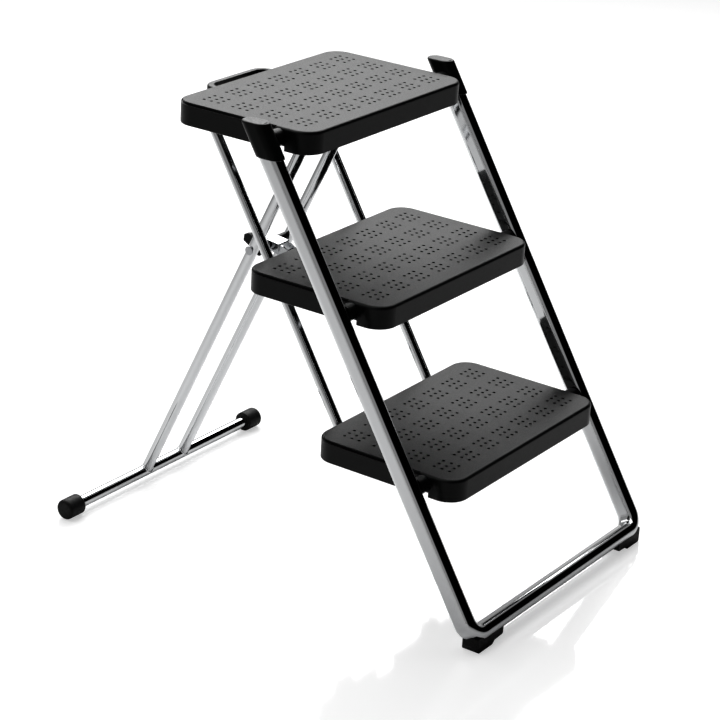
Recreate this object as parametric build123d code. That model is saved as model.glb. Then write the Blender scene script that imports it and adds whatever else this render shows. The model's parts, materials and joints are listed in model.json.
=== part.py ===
from build123d import *
from math import cos, radians, sin, tan
import os

# Folding three-step stool: a chromed U-shaped front frame carries three plastic treads, two link
# bars keep the treads parallel, and a T-shaped rear leg hinges under the top tread.
#
# Every piece is drawn in the "tread frame": its origin is the middle of the top tread's upper
# face, X runs across the stool, Y runs from the user to the rear leg, Z is square to the treads.
# stance() then turns the whole stool to how it stands, with the floor at Z = 0.
# Left is the -X side.

# ---------------------------------------------------------------- driving dimensions, millimetres
# treads
tread_half_width = 179.5
tread_front = 110.0            # from the tread's middle to its front edge
tread_rear = 111.5             # and to its rear edge
tread_depth = 30.5             # height of the skirt
tread_corner = 28.0
plate = 3.5                    # thickness of the standing surface
wall = 3.0
side_wall = 6.0                # thicker under the ledges
top_rounding = 4.0
bottom_rounding = 1.2
ledge_width = 3.5              # the standing surface is set in along the sides
ledge_drop = 3.5
hole_diameter = 4.8
hole_pitch_x = 11.0
hole_pitch_y = 11.5
group_pitch = 46.6
groups_across = 7
groups_deep = 4
rib_depth = 7.5
rib_thickness = 2.2
skirt_gap_half_width = 20.0    # opening in the rear skirt for the keeper bracket
skirt_gap_top = 10.0
link_slot_top = 15.0           # slots in the rear skirt where the link bars pass

# front frame and the treads' pivots on it
rail_angle = 58.35             # lean of the rails, measured from the treads
rail_width = 20.0              # flat-oval tube, across the stool
rail_depth = 30.0              # and square to the frame
rail_corner = 9.9
rail_wall = 1.5
rail_x = 209.3                 # middle of each rail
rail_bend = 21.0               # radius of the bends, to the middle of the tube
rail_y0 = -52.6                # where the middle of the rails crosses the top tread's upper face
rail_top = 5.0                 # tube above that face, along the rail
rail_length = 688.0            # tube below it, to the middle of the bottom run
step_pitch = 235.75            # tread to tread, along the rails
pivot_drop = 13.2              # tread pivot below the standing surface
axle_radius = 5.0
hub_radius = 11.5
hub_inner_x = 140.0
washer_thickness = 2.6
washer_radius = 9.0
running_fit = 0.08             # radial clearance of every turning joint

# rail caps and front feet
cap_wall = 2.5
cap_above = 11.5               # top and bottom of the rail caps, from the top tread's upper face
cap_below = 31.0
cap_top_rounding = 2.5
cap_bottom_rounding = 1.0
foot_outer_x = 211.0           # the rubber foot sits under the bend, from here
foot_inner_x = 150.0           # to the end of its thin tail
foot_reach = 12.5              # front and rear of the foot, from the middle of the bottom run

# link bars
link_x = 106.5
link_radius = 7.0
link_wall = 1.2
link_pivot_y = 104.2           # link pivots, from the middle of each tread
link_pivot_z = -42.0
link_pin_radius = 3.0
link_lug = 4.0                 # thickness of the cheeks that hold the pins
link_side_play = 0.6
link_overrun = 10.0            # link bar beyond its end pivots
lug_reach = 8.5                # lugs around the link pins

# rear leg
leg_angle = 65.1               # lean of the rear leg, measured from the treads
leg_x = 41.0
leg_radius = 8.0
leg_wall = 1.5
leg_y0 = -32.5                 # where the leg's axis would cross the top tread's upper face
leg_hinge_z = -42.0
leg_overrun = 12.0             # tube above the hinge
leg_pin_radius = 4.0
foot_bar_z = -620.5
foot_bar_radius = 8.4
foot_bar_half = 214.0
bar_cap_radius = 14.6
bar_cap_half_span = 220.0
bar_cap_length = 30.0
sheet = 2.5                    # thickness of the steel brackets
plug_depth = 12.0              # plastic plugs in the open tube ends
plug_lip = 1.5

# latch: a hooked stay from the rear leg to a keeper pin under the middle tread
latch_axle_z = -232.6
keeper_y = 104.0               # keeper pin, from the middle of the middle tread
keeper_z = -42.0
keeper_radius = 4.0
stay_half_width = 10.0
cover_play = 0.3
cover_sheet = 1.5
bush_radius = 6.2
spring_radius = 7.8            # lever spring, to the middle of its wire
spring_wire = 0.6

# carrying handle behind the top tread
handle_half_width = 67.0
handle_reach = 44.0
handle_band = 9.0
handle_height = 20.0
handle_drop = 12.0
handle_corner = 24.0
handle_foot = 15.0             # width of the feet that the handle is screwed on by

# stance
floor_tilt = 2.56              # the treads rise this much towards the rear when the stool stands

# ---------------------------------------------------------------- places worked out from them
along = Vector(0, cos(radians(rail_angle)), sin(radians(rail_angle)))   # up the rails
ahead = Vector(0, -sin(radians(rail_angle)), cos(radians(rail_angle)))  # square to them, forward
leg_up = Vector(0, -cos(radians(leg_angle)), sin(radians(leg_angle)))
leg_back = Vector(0, sin(radians(leg_angle)), cos(radians(leg_angle)))


def rail_point(x, down, forward=0.0):
    """A point near a rail: down along it from the top tread's upper face, forward of its middle."""
    return Vector(x, rail_y0, 0) - along * down + ahead * forward


def leg_point(x, z):
    """The point of a leg tube's axis at the height z."""
    return Vector(x, leg_y0 - z / tan(radians(leg_angle)), z)


tread_names = ["top", "middle", "bottom"]
tread_places = [along * (-step_pitch * n) for n in range(3)]
first_pivot = rail_point(0, pivot_drop / sin(radians(rail_angle)))
tread_pivots = [place + first_pivot for place in tread_places]
link_pivots = [place + Vector(0, link_pivot_y, link_pivot_z) for place in tread_places]
leg_hinge = leg_point(0, leg_hinge_z)
latch_axle = leg_point(0, latch_axle_z)
foot_bar = leg_point(0, foot_bar_z)
keeper = tread_places[1] + Vector(0, keeper_y, keeper_z)
stay_length = (keeper - latch_axle).length
stay_forward = (keeper - latch_axle).normalized()
stay_up = Vector(0, stay_forward.Z, -stay_forward.Y)
rail_face_x = rail_x - rail_width / 2
cap_inner_x = rail_face_x - cap_wall
cover_half = stay_half_width + cover_play + cover_sheet
lever_inner_x = 24.5
lever_outer_x = 32.0


# ---------------------------------------------------------------- small shape helpers
def rod(x_from, x_to, radius, at):
    """A round bar along X."""
    middle = Vector((x_from + x_to) / 2, at.Y, at.Z)
    return Location(middle, (0, 90, 0)) * Cylinder(radius, abs(x_to - x_from))


def ring(x_from, x_to, radius, bore, at):
    """A bush or washer about X."""
    return rod(x_from, x_to, radius, at) - rod(x_from - 1, x_to + 1, bore, at)


def headed_pin(x_from, x_to, radius, head_radius, head, at):
    """A pin along X with a riveted head outside each end."""
    pin = rod(x_from, x_to, radius, at)
    for start in (x_from - head, x_to):
        disc = rod(start, start + head, head_radius, at)
        pin += fillet(disc.edges(), head * 0.35)
    return pin


def screw(head_at, direction, shank, length, head_radius=3.2, head=1.8):
    """A pan-head screw: the head's underside is at head_at, the shank points along direction."""
    inward = Plane(origin=head_at, z_dir=direction)
    body = inward * extrude(Circle(shank), amount=length)
    top = Plane(origin=head_at, z_dir=-direction) * extrude(Circle(head_radius), amount=head)
    outer_rim = top.edges().sort_by(lambda edge: (edge.center() - head_at).length)[-1]
    return body + fillet(outer_rim, head * 0.6)


def tube_between(start, end, radius, thickness):
    """A round tube from start to end."""
    axis = end - start
    plane = Plane(origin=start, z_dir=axis)
    outer = plane * extrude(Circle(radius), amount=axis.length)
    return outer - plane * extrude(Circle(radius - thickness), amount=axis.length)


def end_plug(tip, outward, radius, bore):
    """A plastic plug in the open end of a round tube."""
    stem = Plane(origin=tip, z_dir=-outward) * extrude(Circle(bore), amount=plug_depth)
    lip = Plane(origin=tip, z_dir=outward) * extrude(Circle(radius), amount=plug_lip)
    rim = lip.edges().sort_by(lambda edge: (edge.center() - tip).length)[-1]
    return stem + fillet(rim, plug_lip * 0.6)


def side_profile(points, x_from, x_to, rounding=0.0):
    """A plate whose outline is drawn in the YZ plane, standing from x_from to x_to."""
    face = Plane.YZ.offset(x_from) * make_face(Polyline(*points, close=True))
    solid = extrude(face, amount=x_to - x_from)
    if rounding:
        solid = fillet(solid.edges().filter_by(Axis.X), rounding)
    return solid


def block(low, high):
    """A box between two corners."""
    size = [b - a for a, b in zip(low, high)]
    middle = [(a + b) / 2 for a, b in zip(low, high)]
    return Location(middle) * Box(*size)


def rounded_plan(half_width, front, rear, corner, z_from, z_to):
    """An upright block with rounded corners in plan."""
    plan = RectangleRounded(2 * half_width, front + rear, corner)
    return extrude(Location((0, (rear - front) / 2, z_from)) * plan, amount=z_to - z_from)


def group(*solids):
    """Separate alike pieces in one node."""
    return Compound(children=list(solids))


def mirrored(solid):
    """The same piece on the right-hand side."""
    return mirror(solid, about=Plane.YZ)


def leg_middles():
    return (-leg_x, leg_x)


# ---------------------------------------------------------------- treads
def tread_holes():
    """Perforation: groups of three by three small holes."""
    middles_x = [(n - (groups_across - 1) / 2) * group_pitch for n in range(groups_across)]
    middles_y = [(n - (groups_deep - 1) / 2) * group_pitch for n in range(groups_deep)]
    circles = []
    for gx in middles_x:
        for gy in middles_y:
            for dx in (-hole_pitch_x, 0, hole_pitch_x):
                for dy in (-hole_pitch_y, 0, hole_pitch_y):
                    circles.append(Location((gx + dx, gy + dy, -plate - 1)) * Circle(hole_diameter / 2))
    return extrude(Sketch() + circles, amount=plate + 2)


def tread_ribs():
    """Stiffening ribs under the standing surface, between the groups of holes."""
    ribs = []
    top = -plate + 0.5
    bottom = -plate - rib_depth
    inner = tread_half_width - side_wall
    for n in (-2.5, -1.5, -0.5, 0.5, 1.5, 2.5):
        left = n * group_pitch - rib_thickness / 2
        ribs.append(block((left, wall - tread_front, bottom), (left + rib_thickness, tread_rear - wall, top)))
    for y in (-group_pitch, group_pitch):
        near = y - rib_thickness / 2
        ribs.append(block((-inner, near, bottom), (inner, near + rib_thickness, top)))
    return ribs


def link_lugs():
    """Cheeks at the rear of a tread that hold the link pins, one each side of both links."""
    near = link_radius + link_side_play
    rear = link_pivot_y + lug_reach
    front = link_pivot_y - lug_reach
    bottom = link_pivot_z - lug_reach
    outline = [(72, -plate + 0.5), (100, -plate + 0.5), (rear, -36), (rear, bottom),
               (front, bottom), (front, -34)]
    cheeks = []
    for side in (-link_x, link_x):
        for edge in (-near - link_lug, near):
            cheeks.append(side_profile(outline, side + edge, side + edge + link_lug, 3.0))
    return cheeks


def link_grooves():
    """Slots and half-round grooves in the rear skirt, where the link bars pass close behind it."""
    grooves = []
    half = link_radius + 1
    for side in (-link_x, link_x):
        start = Vector(side, link_pivot_y, link_pivot_z) - along * 15
        grooves.append(Plane(origin=start, z_dir=along) * extrude(Circle(half), amount=90))
        grooves.append(block((side - half, tread_rear - wall - 4, -tread_depth - 1),
                             (side + half, tread_rear + 1, -link_slot_top)))
    return grooves


def make_tread():
    half = tread_half_width
    body = rounded_plan(half, tread_front, tread_rear, tread_corner, -tread_depth, 0)
    body = fillet(body.edges().group_by(Axis.Z)[-1], top_rounding)
    body = fillet(body.edges().group_by(Axis.Z)[0], bottom_rounding)

    # the set-in sides: a ledge along each side edge, from the rear corner to the pivot
    inset = rounded_plan(half - ledge_width, tread_front, tread_rear, tread_corner, -ledge_drop, 1)
    ledge = block((-half - 1, first_pivot.Y + 6, -ledge_drop), (half + 1, tread_rear - ledge_drop, 1))
    body -= ledge - inset

    # hollow underside with ribs, open at the rear for the keeper bracket
    body -= rounded_plan(half - side_wall, tread_front - wall, tread_rear - wall, tread_corner - wall,
                         -tread_depth - 1, -plate)
    body += tread_ribs()
    body -= block((-skirt_gap_half_width, tread_rear - wall - 4, -tread_depth - 1),
                  (skirt_gap_half_width, tread_rear + 1, -skirt_gap_top))

    # hubs that turn on the axle, and the slots below them through which the tread is moulded
    axle = Vector(0, first_pivot.Y, -pivot_drop)
    hub_outer_x = cap_inner_x - 0.8
    slot_top = -pivot_drop - hub_radius + 1
    for x_from, x_to in ((hub_inner_x, hub_outer_x), (-hub_inner_x, -hub_outer_x)):
        body += rod(x_from, x_to, hub_radius, axle)
    for x_from in (-half - 1, half - side_wall - 1):
        body -= block((x_from, axle.Y - 9, -tread_depth - 1), (x_from + side_wall + 2, axle.Y + 9, slot_top))

    body += link_lugs()
    body -= link_grooves()
    body -= rod(-rail_x, rail_x, axle_radius + running_fit, axle)
    pin = Vector(0, link_pivot_y, link_pivot_z)
    for side in (-link_x, link_x):
        body -= rod(side - 14, side + 14, link_pin_radius, pin)
    return body - tread_holes()


def make_washers():
    """Plastic washers between the hubs of the two lower treads and the rails."""
    washers = []
    for pivot in tread_pivots[1:]:
        washer = ring(rail_face_x - washer_thickness, rail_face_x, washer_radius, axle_radius, pivot)
        washers += [washer, mirrored(washer)]
    return group(*washers)


# ---------------------------------------------------------------- front frame
def swept_rail(inset):
    """The U of the front frame as a solid flat-oval bar, smaller all round by the inset."""
    turn = rail_length - rail_bend
    inside = rail_x - rail_bend
    path = Line((-rail_x, rail_top), (-rail_x, -turn))
    path += RadiusArc((-rail_x, -turn), (-inside, -rail_length), -rail_bend)
    path += Line((-inside, -rail_length), (inside, -rail_length))
    path += RadiusArc((inside, -rail_length), (rail_x, -turn), -rail_bend)
    path += Line((rail_x, -turn), (rail_x, rail_top))
    start = Plane(origin=(-rail_x, rail_top, 0), x_dir=(1, 0, 0), z_dir=(0, -1, 0))
    section = RectangleRounded(rail_width - 2 * inset, rail_depth - 2 * inset, rail_corner - inset)
    bar = sweep(start * section, path=path)
    return Plane(origin=rail_point(0, 0), x_dir=(1, 0, 0), z_dir=ahead) * bar


def make_front_frame():
    frame = swept_rail(0) - swept_rail(rail_wall)
    for pivot in tread_pivots:
        frame -= rod(-rail_x, rail_x, axle_radius, pivot)
    return frame


def rail_sleeve(grow, down, length):
    """A flat-oval bar along the left rail, larger all round than the tube."""
    start = Plane(origin=rail_point(-rail_x, down), x_dir=(1, 0, 0), z_dir=along)
    section = RectangleRounded(rail_width + 2 * grow, rail_depth + 2 * grow, rail_corner + grow)
    return start * extrude(section, amount=length)


def make_rail_cap():
    """Left rail cap: a slanted sleeve with a level top and bottom."""
    far = 3 * cap_below
    slab = block((-2 * rail_x, rail_y0 - far, -cap_below), (0, rail_y0 + far, cap_above))
    cap = rail_sleeve(cap_wall, far, 2 * far) & slab
    cap = fillet(cap.edges().group_by(Axis.Z)[-1], cap_top_rounding)
    cap = fillet(cap.edges().group_by(Axis.Z)[0], cap_bottom_rounding)
    cap -= rail_sleeve(0, far, far + rail_top)
    return cap - rod(-rail_x, -rail_x + 40, axle_radius + 0.3, tread_pivots[0])


def floor_level():
    """Height of the floor once the stool is turned to its stance: the foot bar's caps touch it."""
    turned = Rot(floor_tilt, 0, 0) * Location(foot_bar)
    return turned.position.Z - bar_cap_radius


def make_foot_pad():
    """Left front foot: a rubber block under the frame's bend, with a thin tail along the bottom run."""
    run = rail_point(0, rail_length)
    top = run.Z + 1
    heel = run.Z - 23
    outline = [(-foot_outer_x, top), (-foot_outer_x, heel + 12), (4 - foot_outer_x, heel + 4),
               (11 - foot_outer_x, heel), (-188, heel), (-174, heel + 5), (-170, heel + 8.6),
               (-foot_inner_x - 2, heel + 9.4), (-foot_inner_x, heel + 11), (-foot_inner_x, top)]
    section = Plane(origin=(0, run.Y - foot_reach, 0), x_dir=(1, 0, 0), z_dir=(0, -1, 0))
    pad = extrude(section * make_face(Polyline(*outline, close=True)), amount=-2 * foot_reach)
    pad = fillet(pad.edges().filter_by(Axis.Z).group_by(Axis.X)[0], 4.0)
    pad -= Rot(-floor_tilt, 0, 0) * block((-rail_x, -600, floor_level() - 40), (0, 0, floor_level()))
    pad -= swept_rail(0)
    return pad


# ---------------------------------------------------------------- rear leg
def make_leg_tube(x):
    """A leg tube: from just above the hinge to the foot bar, notched to sit on it."""
    start = leg_point(x, leg_hinge_z) + leg_up * leg_overrun
    tube = tube_between(start, leg_point(x, foot_bar_z), leg_radius, leg_wall)
    tube -= rod(x - 20, x + 20, foot_bar_radius, foot_bar)
    tube -= rod(x - 20, x + 20, leg_pin_radius + running_fit, leg_hinge)
    return tube - rod(x - 20, x + 20, leg_pin_radius, latch_axle)


def make_leg_plugs():
    plugs = []
    for x in leg_middles():
        tip = leg_point(x, leg_hinge_z) + leg_up * leg_overrun
        plug = end_plug(tip, leg_up, leg_radius, leg_radius - leg_wall)
        plugs.append(plug - rod(x - 20, x + 20, leg_pin_radius + running_fit, leg_hinge))
    return group(*plugs)


def make_bar_cap():
    """Left end cap of the foot bar."""
    outer = rod(-bar_cap_half_span, bar_cap_length - bar_cap_half_span, bar_cap_radius, foot_bar)
    outer = fillet(outer.edges().group_by(Axis.X)[0], 4.0)
    outer = fillet(outer.edges().group_by(Axis.X)[-1], 1.5)
    return outer - rod(-foot_bar_half, foot_bar_half, foot_bar_radius, foot_bar)


def hinge_cheeks_x():
    """Inner faces of a hinge bracket, from the middle of the leg tube."""
    return leg_radius + 0.7


def bracket_screw_places(x):
    return [Vector(x, leg_hinge.Y + dy, -plate - sheet) for dy in (-7.5, 13.0)]


def make_hinge_brackets():
    """U brackets under the top tread, one round each leg tube."""
    gap = hinge_cheeks_x()
    front = leg_hinge.Y - 13
    rear = leg_hinge.Y + 19
    bottom = leg_hinge.Z - 8.5
    outline = [(front, -plate), (rear, -plate), (leg_hinge.Y + 9, bottom), (leg_hinge.Y - 9, bottom)]
    brackets = []
    for x in leg_middles():
        bracket = block((x - gap - sheet, front, -plate - sheet), (x + gap + sheet, rear, -plate))
        for start in (x - gap - sheet, x + gap):
            cheek = side_profile(outline, start, start + sheet)
            lower_edges = cheek.edges().filter_by(Axis.X).group_by(Axis.Z)[0]
            bracket += fillet(lower_edges, 6.0)
        bracket -= rod(x - 20, x + 20, leg_pin_radius, leg_hinge)
        for place in bracket_screw_places(x):
            bracket -= Location(place) * Cylinder(2.0, 8)
        brackets.append(bracket)
    return group(*brackets)


def make_hinge_pins():
    """One riveted pin through each bracket and leg tube."""
    reach = hinge_cheeks_x() + sheet + 0.2
    return group(*[headed_pin(x - reach, x + reach, leg_pin_radius, 6.5, 2, leg_hinge)
                   for x in leg_middles()])


def make_bracket_screws():
    return group(*[screw(place, Vector(0, 0, 1), 1.9, sheet + 2.2)
                   for x in leg_middles() for place in bracket_screw_places(x)])


# ---------------------------------------------------------------- stay and latch
def stay_place(distance, height):
    """A point of the latch in YZ: distance from the axle towards the keeper, and height above that line."""
    point = latch_axle + stay_forward * distance + stay_up * height
    return (point.Y, point.Z)


def make_stay():
    """Pressed channel from the leg's latch axle to a hook that takes the keeper pin from below."""
    under_pin = -keeper_radius - running_fit
    tip = stay_length + 5
    cheek_outline = [(-7, -6), (-7, 5), (26, 5), (48, under_pin), (tip, under_pin), (tip + 0.8, 3.5),
                     (tip + 5.5, 3.5), (tip + 5.5, -9.5), (20, -9.5)]
    web_outline = [(22, -9.5), (22, -7), (tip + 3, -7), (tip + 3, -9.5)]
    cheek = [stay_place(*point) for point in cheek_outline]
    web = [stay_place(*point) for point in web_outline]
    stay = side_profile(web, -stay_half_width, stay_half_width)
    for start in (-stay_half_width, stay_half_width - sheet):
        stay += side_profile(cheek, start, start + sheet)
    return stay - rod(-20, 20, leg_pin_radius + running_fit, latch_axle)


def make_latch_cover():
    """Pressed cover over the stay's rear end, with a plain raised panel on top."""
    outer = [stay_place(*point) for point in ((-8.6, 6.8), (21, 6.8), (21, -5), (-8.6, -5))]
    inner = [stay_place(*point) for point in ((-7.3, 5.3), (26, 5.3), (26, -9), (-7.3, -9))]
    panel = [stay_place(*point) for point in ((-5, 7.5), (18, 7.5), (18, 6.5), (-5, 6.5))]
    cover = side_profile(outer, -cover_half, cover_half, 1.2)
    cover -= side_profile(inner, cover_sheet - cover_half, cover_half - cover_sheet)
    cover += side_profile(panel, 3 - cover_half, cover_half - 3)
    return cover - rod(-20, 20, leg_pin_radius + running_fit, latch_axle)


def make_release_lever():
    """Thumb lever on the latch axle, beside the left leg tube."""

    def at(back, up):
        point = latch_axle + leg_back * back + leg_up * up
        return (point.Y, point.Z)

    outline = [at(-9, 4), at(-9, -9), at(-2, -11), at(12, -7), at(24, -6), at(27, 3), at(20, 9), at(2, 9)]
    lever = side_profile(outline, -lever_outer_x, -lever_inner_x, 2.0)
    return lever - rod(-60, 60, leg_pin_radius + running_fit, latch_axle)


def make_latch_axle():
    reach = leg_x + leg_radius + 0.5
    return headed_pin(-reach, reach, leg_pin_radius, 6.5, 2, latch_axle)


def make_latch_spacers():
    """Plastic bushes that keep the stay in the middle of its axle."""
    tube_face = leg_x - leg_radius
    side_play = 0.3
    left_radius = bush_radius - 0.4
    left = ring(side_play - lever_inner_x, -cover_half - side_play, left_radius, leg_pin_radius, latch_axle)
    right = ring(cover_half + side_play, tube_face - side_play, bush_radius, leg_pin_radius, latch_axle)
    return group(left, right)


def make_lever_spring():
    """Torsion spring round the left bush: it turns the lever back after a press."""
    turns = 5
    pitch = 2 * spring_wire + 0.35
    coil = Helix(pitch, pitch * turns, spring_radius)
    wire = sweep(Plane(origin=coil @ 0, z_dir=coil % 0) * Circle(spring_wire), path=coil, is_frenet=True)
    return Location((-lever_inner_x + 2, latch_axle.Y, latch_axle.Z), (0, 90, 0)) * wire


def keeper_screw_places():
    top = tread_places[1].Z - plate - sheet
    return [Vector(x, tread_places[1].Y + 91, top) for x in (-5.5, 5.5)]


def make_keeper_bracket():
    """Bracket under the rear of the middle tread that holds the keeper pin."""
    place = tread_places[1]
    top = place.Z - plate
    front = place.Y + 62
    rear = place.Y + 98
    outline = [(front, top), (rear, top), (keeper.Y + 8, keeper.Z + 6), (keeper.Y + 8, keeper.Z - 8),
               (keeper.Y - 8, keeper.Z - 8), (keeper.Y - 8, keeper.Z + 6)]
    inner = stay_half_width + 2.2
    bracket = block((-inner - sheet, front, top - sheet), (inner + sheet, rear, top))
    for start in (-inner - sheet, inner):
        cheek = side_profile(outline, start, start + sheet)
        bracket += fillet(cheek.edges().filter_by(Axis.X).group_by(Axis.Z)[0], 4.0)
    for screw_place in keeper_screw_places():
        bracket -= Location(screw_place) * Cylinder(2.0, 8)
    return bracket - rod(-20, 20, keeper_radius, keeper)


def make_keeper_pin():
    reach = stay_half_width + 2.2 + sheet
    return headed_pin(-reach, reach, keeper_radius, 6, 1.8, keeper)


def make_keeper_screws():
    return group(*[screw(place, Vector(0, 0, 1), 1.9, sheet + 2.2) for place in keeper_screw_places()])


# ---------------------------------------------------------------- carrying handle
def handle_screw_places():
    middle_z = -handle_drop - handle_height / 2
    x = handle_half_width - handle_band - handle_foot / 2 - 1
    return [Vector(side * x, tread_rear + sheet, middle_z) for side in (-1, 1)]


def make_carry_handle():
    """Moulded loop behind the top tread, with an inward foot at each end for its screw."""
    bottom = -handle_drop - handle_height
    inner_half = handle_half_width - handle_band
    loop = rounded_plan(handle_half_width, 0, tread_rear + handle_reach, handle_corner, bottom, -handle_drop)
    loop = fillet(loop.edges().group_by(Axis.Z)[-1], 3.0)
    loop = fillet(loop.edges().group_by(Axis.Z)[0], 2.0)
    loop -= rounded_plan(inner_half, 0, tread_rear + handle_reach - handle_band,
                         handle_corner - handle_band, bottom - 1, 1)
    loop -= block((-200, -10, bottom - 1), (200, tread_rear, 1))
    for x_from in (-inner_half - 1, inner_half - handle_foot):
        loop += block((x_from, tread_rear, bottom + 1),
                      (x_from + handle_foot + 1, tread_rear + sheet, -handle_drop - 1))
    for place in handle_screw_places():
        loop -= rod_along_y(place, 2.0)
    return loop


def rod_along_y(at, radius):
    """The hole for one of the handle's screws."""
    return Location(at, (90, 0, 0)) * Cylinder(radius, 4 * sheet)


def make_handle_screws():
    return group(*[screw(place, Vector(0, -1, 0), 1.9, sheet + wall + 2) for place in handle_screw_places()])


# ---------------------------------------------------------------- link bars
def make_link_bar():
    """Left link bar: a round tube past all three treads."""
    side = Vector(-link_x, 0, 0)
    low = link_pivots[2] - along * link_overrun + side
    high = link_pivots[0] + along * link_overrun + side
    link = tube_between(low, high, link_radius, link_wall)
    for pivot in link_pivots:
        link -= rod(-link_x - 20, -link_x + 20, link_pin_radius + running_fit, pivot)
    return link


def make_link_plugs():
    """Plugs in both ends of the left link bar."""
    side = Vector(-link_x, 0, 0)
    plugs = []
    for pivot, outward in ((link_pivots[0], along), (link_pivots[2], -along)):
        plug = end_plug(pivot + outward * link_overrun + side, outward, link_radius, link_radius - link_wall)
        plugs.append(plug - rod(-link_x - 20, -link_x + 20, link_pin_radius + running_fit, pivot))
    return group(*plugs)


# ---------------------------------------------------------------- every node
def build():
    """All nodes in the tread frame, by name."""
    tread = make_tread()
    bracket_screws = make_bracket_screws()
    handle_screws = make_handle_screws()
    keeper_screws = make_keeper_screws()
    treads = [Location(place) * tread for place in tread_places]
    treads[0] = treads[0] - bracket_screws.solids() - handle_screws.solids()
    treads[1] = treads[1] - keeper_screws.solids()

    nodes = {}
    for name, body, pivot, link_pivot in zip(tread_names, treads, tread_pivots, link_pivots):
        nodes["tread_" + name] = body
        nodes["tread_axle_" + name] = rod(2 - rail_x, rail_x - 2, axle_radius, pivot)
        reach = link_radius + link_side_play + link_lug + 0.1
        nodes["link_pins_" + name] = group(*[
            headed_pin(x - reach, x + reach, link_pin_radius, 5, 1.6, link_pivot) for x in (-link_x, link_x)])

    nodes["front_frame"] = make_front_frame()
    nodes["pivot_washers"] = make_washers()
    pairs = {
        "rail_cap": make_rail_cap(),
        "foot_pad": make_foot_pad(),
        "bar_cap": make_bar_cap(),
        "link_bar": make_link_bar(),
        "link_plugs": make_link_plugs(),
    }
    for name, left in pairs.items():
        nodes[name + "_left"] = left
        nodes[name + "_right"] = mirrored(left)

    nodes["leg_tube_left"] = make_leg_tube(-leg_x)
    nodes["leg_tube_right"] = make_leg_tube(leg_x)
    nodes["foot_bar"] = rod(-foot_bar_half, foot_bar_half, foot_bar_radius, foot_bar)
    nodes["leg_plugs"] = make_leg_plugs()
    nodes["leg_hinge_brackets"] = make_hinge_brackets()
    nodes["leg_hinge_pins"] = make_hinge_pins()
    nodes["bracket_screws"] = bracket_screws
    nodes["latch_axle"] = make_latch_axle()
    nodes["latch_stay"] = make_stay()
    nodes["latch_cover"] = make_latch_cover()
    nodes["latch_spacers"] = make_latch_spacers()
    nodes["release_lever"] = make_release_lever()
    nodes["lever_spring"] = make_lever_spring()
    nodes["keeper_bracket"] = make_keeper_bracket()
    nodes["keeper_pin"] = make_keeper_pin()
    nodes["keeper_screws"] = keeper_screws
    nodes["carry_handle"] = make_carry_handle()
    nodes["handle_screws"] = handle_screws
    return nodes


def stance(nodes):
    """The move from the tread frame to the stance: floor at Z = 0, origin under the box's middle."""
    turn = Location((0, 0, 0), (floor_tilt, 0, 0))
    box = Compound(children=[turn * shape for shape in nodes.values()]).bounding_box()
    return Location((0, -box.center().Y, -floor_level())) * turn


if __name__ == "__main__":
    os.makedirs("parts", exist_ok=True)
    nodes = build()
    place = stance(nodes)
    for name, shape in nodes.items():
        export_step(place * shape, "parts/" + name + ".step")
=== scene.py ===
import json
import math

import bpy
from mathutils import Matrix, Vector


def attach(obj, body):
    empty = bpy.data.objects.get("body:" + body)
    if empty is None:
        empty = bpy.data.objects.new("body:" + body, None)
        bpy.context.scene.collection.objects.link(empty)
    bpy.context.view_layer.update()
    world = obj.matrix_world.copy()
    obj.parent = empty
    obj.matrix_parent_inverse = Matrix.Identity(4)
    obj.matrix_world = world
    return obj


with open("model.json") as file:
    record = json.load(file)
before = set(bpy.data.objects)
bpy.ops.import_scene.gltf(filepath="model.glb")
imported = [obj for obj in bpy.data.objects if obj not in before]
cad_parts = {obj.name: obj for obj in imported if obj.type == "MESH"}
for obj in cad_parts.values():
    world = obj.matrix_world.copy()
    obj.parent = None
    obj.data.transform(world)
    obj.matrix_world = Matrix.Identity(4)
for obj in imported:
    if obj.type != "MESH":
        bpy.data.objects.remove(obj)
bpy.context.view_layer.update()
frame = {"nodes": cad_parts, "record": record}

# Folding three-step stool: chromed tube, black moulded treads, rubber feet. Metres, Z up,
# the user's side is -Y and the stool's left is -X.

nodes = frame["nodes"]

# welds
weld_radius = 0.0014
weld_ripple = 0.14            # how much the bead's thickness varies
weld_waves = 18
weld_steps = 144
weld_sides = 10

# camera
camera_place = (-2.46889, -1.72228, 1.40240)
camera_heading = 55.316       # degrees from +Y towards +X
camera_down = 20.910
camera_roll = 1.0205
camera_lens = 118.05
camera_sensor = 36.0
camera_far = 60.0

# light and set; the dark side is a round patch of the surroundings, in degrees
dark_side_azimuth = 165.0     # from +Y towards +X
dark_side_elevation = 15.0
dark_side_reach = 62.0
dark_side_soft = 14.0
dark_side_light = 0.0
surround_light = 0.28
backdrop_light = 1.0
floor_glow = 0.42
floor_half_width = 12.0
softboxes = (
    # name, place, what it points at, width, height, watts
    ("rear_softbox", (2.0, 1.5, 2.1), (0, 0, 0.5), 2.6, 1.6, 48.0),
    ("top_softbox", (0.7, 1.7, 3.0), (0.2, 0.6, 0), 5.0, 5.0, 82.0),
)


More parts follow.
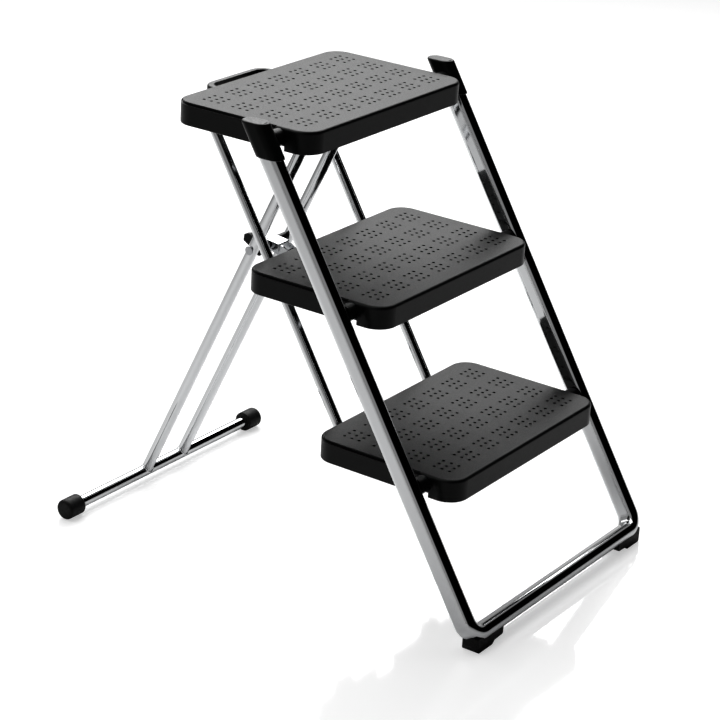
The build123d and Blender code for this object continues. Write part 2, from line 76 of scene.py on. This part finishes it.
# ---------------------------------------------------------------- material helpers
class Shader:
    """A Principled material and short calls for the nodes that drive it."""

    def __init__(self, name):
        self.material = bpy.data.materials.new(name)
        self.material.use_nodes = True
        self.tree = self.material.node_tree
        self.tree.nodes.clear()
        self.surface = self.tree.nodes.new("ShaderNodeBsdfPrincipled")
        output = self.tree.nodes.new("ShaderNodeOutputMaterial")
        self.link(self.surface.outputs["BSDF"], output.inputs["Surface"])
        coordinates = self.tree.nodes.new("ShaderNodeTexCoord")
        self.place = coordinates.outputs["Object"]

    def link(self, source, target):
        self.tree.links.new(source, target)

    def set(self, **values):
        """Numbers and colours that are the same all over the surface."""
        for name, value in values.items():
            self.surface.inputs[name.replace("_", " ")].default_value = value

    def noise(self, scale, detail=3.0, roughness=0.5, stretch=(1, 1, 1)):
        mapping = self.tree.nodes.new("ShaderNodeMapping")
        mapping.inputs["Scale"].default_value = stretch
        self.link(self.place, mapping.inputs["Vector"])
        texture = self.tree.nodes.new("ShaderNodeTexNoise")
        texture.inputs["Scale"].default_value = scale
        texture.inputs["Detail"].default_value = detail
        texture.inputs["Roughness"].default_value = roughness
        self.link(mapping.outputs["Vector"], texture.inputs["Vector"])
        return texture.outputs["Fac"]

    def cells(self, scale):
        texture = self.tree.nodes.new("ShaderNodeTexVoronoi")
        texture.inputs["Scale"].default_value = scale
        self.link(self.place, texture.inputs["Vector"])
        return texture.outputs["Distance"]

    def span(self, value, low, high, to_low, to_high):
        """value, from low..high, becomes to_low..to_high."""
        node = self.tree.nodes.new("ShaderNodeMapRange")
        self.link(value, node.inputs["Value"])
        for name, number in (("From Min", low), ("From Max", high), ("To Min", to_low), ("To Max", to_high)):
            node.inputs[name].default_value = number
        return node.outputs["Result"]

    def blend(self, factor, first, second):
        """A colour between two, by a factor."""
        node = self.tree.nodes.new("ShaderNodeMix")
        node.data_type = "RGBA"
        self.link(factor, node.inputs["Factor"])
        node.inputs["A"].default_value = (*first, 1)
        node.inputs["B"].default_value = (*second, 1)
        return node.outputs["Result"]

    def maths(self, operation, first, second):
        node = self.tree.nodes.new("ShaderNodeMath")
        node.operation = operation
        for slot, value in enumerate((first, second)):
            if isinstance(value, (int, float)):
                node.inputs[slot].default_value = value
            else:
                self.link(value, node.inputs[slot])
        return node.outputs["Value"]

    def upward(self):
        """The height part of the surface's own direction: 1 on top, 0 on the sides."""
        geometry = self.tree.nodes.new("ShaderNodeNewGeometry")
        parts = self.tree.nodes.new("ShaderNodeSeparateXYZ")
        self.link(geometry.outputs["Normal"], parts.inputs["Vector"])
        return parts.outputs["Z"]

    def colour(self, value):
        self.link(value, self.surface.inputs["Base Color"])

    def gloss(self, value):
        self.link(value, self.surface.inputs["Roughness"])

    def relief(self, *layers):
        """Bump layers, each a height, how deep it is in metres and how strongly it shows."""
        normal = None
        for height, depth, strength in layers:
            bump = self.tree.nodes.new("ShaderNodeBump")
            bump.inputs["Distance"].default_value = depth
            bump.inputs["Strength"].default_value = strength
            self.link(height, bump.inputs["Height"])
            if normal:
                self.link(normal, bump.inputs["Normal"])
            normal = bump.outputs["Normal"]
        self.link(normal, self.surface.inputs["Normal"])


# ---------------------------------------------------------------- materials
def chrome_tube():
    """Polished chrome plate: faint haze and fine draw lines in the tube under it."""
    shader = Shader("chrome_tube")
    shader.set(Metallic=1.0)
    haze = shader.noise(9.0, detail=4)
    shader.colour(shader.blend(haze, (0.74, 0.75, 0.76), (0.82, 0.83, 0.84)))
    shader.gloss(shader.span(shader.noise(35.0, detail=5), 0.3, 0.7, 0.035, 0.085))
    ripple = shader.noise(14.0, detail=2)
    grain = shader.noise(900.0, detail=2)
    shader.relief((ripple, 0.0006, 0.10), (grain, 0.00002, 0.15))
    return shader.material


def chrome_sheet():
    """Chrome over pressed steel: a little softer than on the tubes."""
    shader = Shader("chrome_sheet")
    shader.set(Metallic=1.0)
    shader.colour(shader.blend(shader.noise(60.0), (0.42, 0.43, 0.44), (0.60, 0.61, 0.62)))
    shader.gloss(shader.span(shader.noise(220.0, detail=5), 0.3, 0.7, 0.09, 0.20))
    shader.relief((shader.noise(160.0, detail=3), 0.0002, 0.25))
    return shader.material


def zinc_steel():
    """Zinc-plated pins, brackets and screws with a brushed grain."""
    shader = Shader("zinc_steel")
    shader.set(Metallic=1.0)
    brushed = shader.noise(420.0, detail=4, stretch=(0.12, 1, 1))
    shader.colour(shader.blend(shader.noise(120.0), (0.46, 0.47, 0.49), (0.62, 0.63, 0.64)))
    shader.gloss(shader.span(brushed, 0.3, 0.7, 0.26, 0.46))
    shader.relief((brushed, 0.00006, 0.3))
    return shader.material


def tread_plastic():
    """Black moulding: fine leather-like grain on the standing surface, smoother on the skirt."""
    shader = Shader("tread_plastic")
    shader.set(IOR=1.5, Specular_IOR_Level=0.22)
    on_top = shader.span(shader.upward(), 0.75, 0.95, 0.0, 1.0)
    cloud = shader.noise(22.0, detail=4)
    shader.colour(shader.blend(cloud, (0.0025, 0.0028, 0.0028), (0.006, 0.0064, 0.0064)))
    fine = shader.span(shader.noise(480.0, detail=3), 0.3, 0.7, -0.04, 0.04)
    rough = shader.span(on_top, 0.0, 1.0, 0.34, 0.46)
    shader.gloss(shader.maths("ADD", rough, fine))
    grain = shader.maths("MULTIPLY", shader.cells(1500.0), on_top)
    shader.relief((shader.noise(30.0, detail=2), 0.0004, 0.12), (grain, 0.00012, 0.35))
    return shader.material


def black_plastic():
    """Satin black moulding of the caps, handle, lever and bushes."""
    shader = Shader("black_plastic")
    shader.set(IOR=1.47, Specular_IOR_Level=0.18)
    cloud = shader.noise(40.0, detail=4)
    shader.colour(shader.blend(cloud, (0.003, 0.0035, 0.0033), (0.007, 0.0078, 0.0075)))
    shader.gloss(shader.span(shader.noise(300.0, detail=4), 0.3, 0.7, 0.30, 0.44))
    shader.relief((shader.cells(1700.0), 0.00006, 0.25), (shader.noise(45.0), 0.0003, 0.1))
    return shader.material


def black_rubber():
    """Soft rubber of the feet: dull, with a fine open grain."""
    shader = Shader("black_rubber")
    shader.set(IOR=1.45, Specular_IOR_Level=0.3)
    shader.colour(shader.blend(shader.noise(70.0, detail=5), (0.004, 0.004, 0.004), (0.010, 0.010, 0.010)))
    shader.gloss(shader.span(shader.noise(260.0, detail=4), 0.3, 0.7, 0.45, 0.66))
    shader.relief((shader.noise(1200.0, detail=3), 0.0001, 0.4))
    return shader.material


def finish_nodes():
    """Every CAD node takes the material of its slot."""
    makers = (chrome_tube, chrome_sheet, zinc_steel, tread_plastic, black_plastic, black_rubber)
    materials = {maker.__name__: maker() for maker in makers}
    for part in frame["record"]["subparts"]:
        mesh = nodes[part["node"]].data
        mesh.materials.clear()
        mesh.materials.append(materials[part["material_slot"]])
    return materials


# ---------------------------------------------------------------- welds of the rear leg
def corners_of(name):
    """Low and high corner of a CAD node."""
    node = nodes[name]
    corners = [node.matrix_world @ Vector(corner) for corner in node.bound_box]
    low = Vector([min(corner[axis] for corner in corners) for axis in range(3)])
    high = Vector([max(corner[axis] for corner in corners) for axis in range(3)])
    return low, high


def add_weld(side, material):
    """A rippled bead round the joint of a leg tube and the foot bar."""
    bar_low, bar_high = corners_of("foot_bar")
    tube_low, tube_high = corners_of("leg_tube_" + side)
    bar_radius = (bar_high.z - bar_low.z) / 2
    tube_radius = (tube_high.x - tube_low.x) / 2
    middle = (bar_low + bar_high) / 2
    middle.x = (tube_low.x + tube_high.x) / 2
    hinge = next(joint for joint in frame["record"]["behaviour"]["joints"] if joint["name"] == "leg_fold")
    up = Vector((0, hinge["pos_m"][1] - middle.y, hinge["pos_m"][2] - middle.z)).normalized()
    across = Vector((1, 0, 0))
    back = up.cross(across)
    points = []
    for step in range(weld_steps):
        turn = math.tau * step / weld_steps
        outward = across * math.cos(turn) + back * math.sin(turn)
        rise = math.sqrt(bar_radius ** 2 - (tube_radius * math.sin(turn)) ** 2)
        seam = middle + up * rise + outward * tube_radius
        thick = weld_radius * (1 + weld_ripple * math.sin(turn * weld_waves))
        for part in range(weld_sides):
            angle = math.tau * part / weld_sides
            points.append(seam + (outward * math.cos(angle) + up * math.sin(angle)) * thick)
    faces = []
    for step in range(weld_steps):
        here, beyond = step * weld_sides, (step + 1) % weld_steps * weld_sides
        for part in range(weld_sides):
            after = (part + 1) % weld_sides
            faces.append((here + part, here + after, beyond + after, beyond + part))
    mesh = bpy.data.meshes.new("weld_bead_" + side)
    mesh.from_pydata(points, [], faces)
    mesh.polygons.foreach_set("use_smooth", [True] * len(faces))
    mesh.materials.append(material)
    bead = bpy.data.objects.new("weld_bead_" + side, mesh)
    bpy.context.scene.collection.objects.link(bead)
    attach(bead, "rear_leg")


# ---------------------------------------------------------------- set, lights and camera
def make_floor():
    """A pale, glossy sheet that the stool stands on; it glows a little for the camera only."""
    half = floor_half_width
    mesh = bpy.data.meshes.new("studio_floor")
    corners = [(-half, -half, 0), (half, -half, 0), (half, half, 0), (-half, half, 0)]
    mesh.from_pydata(corners, [], [(0, 1, 2, 3)])
    floor = bpy.data.objects.new("studio_floor", mesh)
    bpy.context.scene.collection.objects.link(floor)
    shader = Shader("studio_floor")
    shader.colour(shader.blend(shader.noise(0.6), (0.90, 0.90, 0.90), (0.93, 0.93, 0.93)))
    shader.gloss(shader.span(shader.noise(3.0), 0.3, 0.7, 0.05, 0.10))
    shader.set(Specular_IOR_Level=0.9, Emission_Color=(1, 1, 1, 1))
    path = shader.tree.nodes.new("ShaderNodeLightPath")
    glow = shader.span(path.outputs["Is Camera Ray"], 0.0, 1.0, 0.0, floor_glow)
    shader.link(glow, shader.surface.inputs["Emission Strength"])
    mesh.materials.append(shader.material)


def make_world():
    """White backdrop for the camera; the chrome sees a dim studio that is dark on the user's side."""
    world = bpy.data.worlds.new("studio")
    bpy.context.scene.world = world
    world.use_nodes = True
    tree = world.node_tree
    tree.nodes.clear()
    output = tree.nodes.new("ShaderNodeOutputWorld")
    backdrop = tree.nodes.new("ShaderNodeBackground")
    surround = tree.nodes.new("ShaderNodeBackground")
    choose = tree.nodes.new("ShaderNodeMixShader")
    path = tree.nodes.new("ShaderNodeLightPath")
    tree.links.new(path.outputs["Is Camera Ray"], choose.inputs["Fac"])
    tree.links.new(surround.outputs["Background"], choose.inputs[1])
    tree.links.new(backdrop.outputs["Background"], choose.inputs[2])
    tree.links.new(choose.outputs["Shader"], output.inputs["Surface"])

    direction = tree.nodes.new("ShaderNodeTexCoord").outputs["Generated"]
    toward = tree.nodes.new("ShaderNodeVectorMath")
    toward.operation = "DOT_PRODUCT"
    heading, height = math.radians(dark_side_azimuth), math.radians(dark_side_elevation)
    toward.inputs[1].default_value = (math.sin(heading) * math.cos(height),
                                      math.cos(heading) * math.cos(height), math.sin(height))
    tree.links.new(direction, toward.inputs[0])
    shade = tree.nodes.new("ShaderNodeMapRange")
    tree.links.new(toward.outputs["Value"], shade.inputs["Value"])
    shade.interpolation_type = "SMOOTHSTEP"
    shade.inputs["From Min"].default_value = math.cos(math.radians(dark_side_reach + dark_side_soft))
    shade.inputs["From Max"].default_value = math.cos(math.radians(dark_side_reach))
    shade.inputs["To Min"].default_value = surround_light
    shade.inputs["To Max"].default_value = dark_side_light
    tree.links.new(shade.outputs["Result"], surround.inputs["Strength"])
    backdrop.inputs["Strength"].default_value = backdrop_light


def add_softbox(name, place, aim, width, height, power):
    """A rectangular light that the camera doesn't see."""
    light = bpy.data.lights.new(name, "AREA")
    light.shape = "RECTANGLE"
    light.size = width
    light.size_y = height
    light.energy = power
    lamp = bpy.data.objects.new(name, light)
    lamp.location = place
    lamp.rotation_mode = "QUATERNION"
    lamp.rotation_quaternion = (Vector(aim) - Vector(place)).to_track_quat("-Z", "Y")
    lamp.visible_camera = False
    bpy.context.scene.collection.objects.link(lamp)


def add_camera():
    """Stands to the left of the user, a little above the top tread."""
    camera = bpy.data.cameras.new("camera")
    camera.sensor_width = camera_sensor
    camera.lens = camera_lens
    camera.clip_end = camera_far
    view = bpy.data.objects.new("camera", camera)
    view.rotation_mode = "XYZ"
    view.location = camera_place
    pitch, roll, heading = (math.radians(angle) for angle in (90 - camera_down, camera_roll, -camera_heading))
    turn = Matrix.Rotation(heading, 3, "Z") @ Matrix.Rotation(pitch, 3, "X") @ Matrix.Rotation(roll, 3, "Z")
    view.rotation_euler = turn.to_euler("XYZ")
    bpy.context.scene.collection.objects.link(view)
    bpy.context.scene.camera = view


materials = finish_nodes()
for leg_side in ("left", "right"):
    add_weld(leg_side, materials["chrome_tube"])
make_floor()
make_world()
for softbox in softboxes:
    add_softbox(*softbox)
add_camera()
bpy.context.scene.view_settings.view_transform = "Standard"
bpy.context.scene.view_settings.look = "Medium High Contrast"
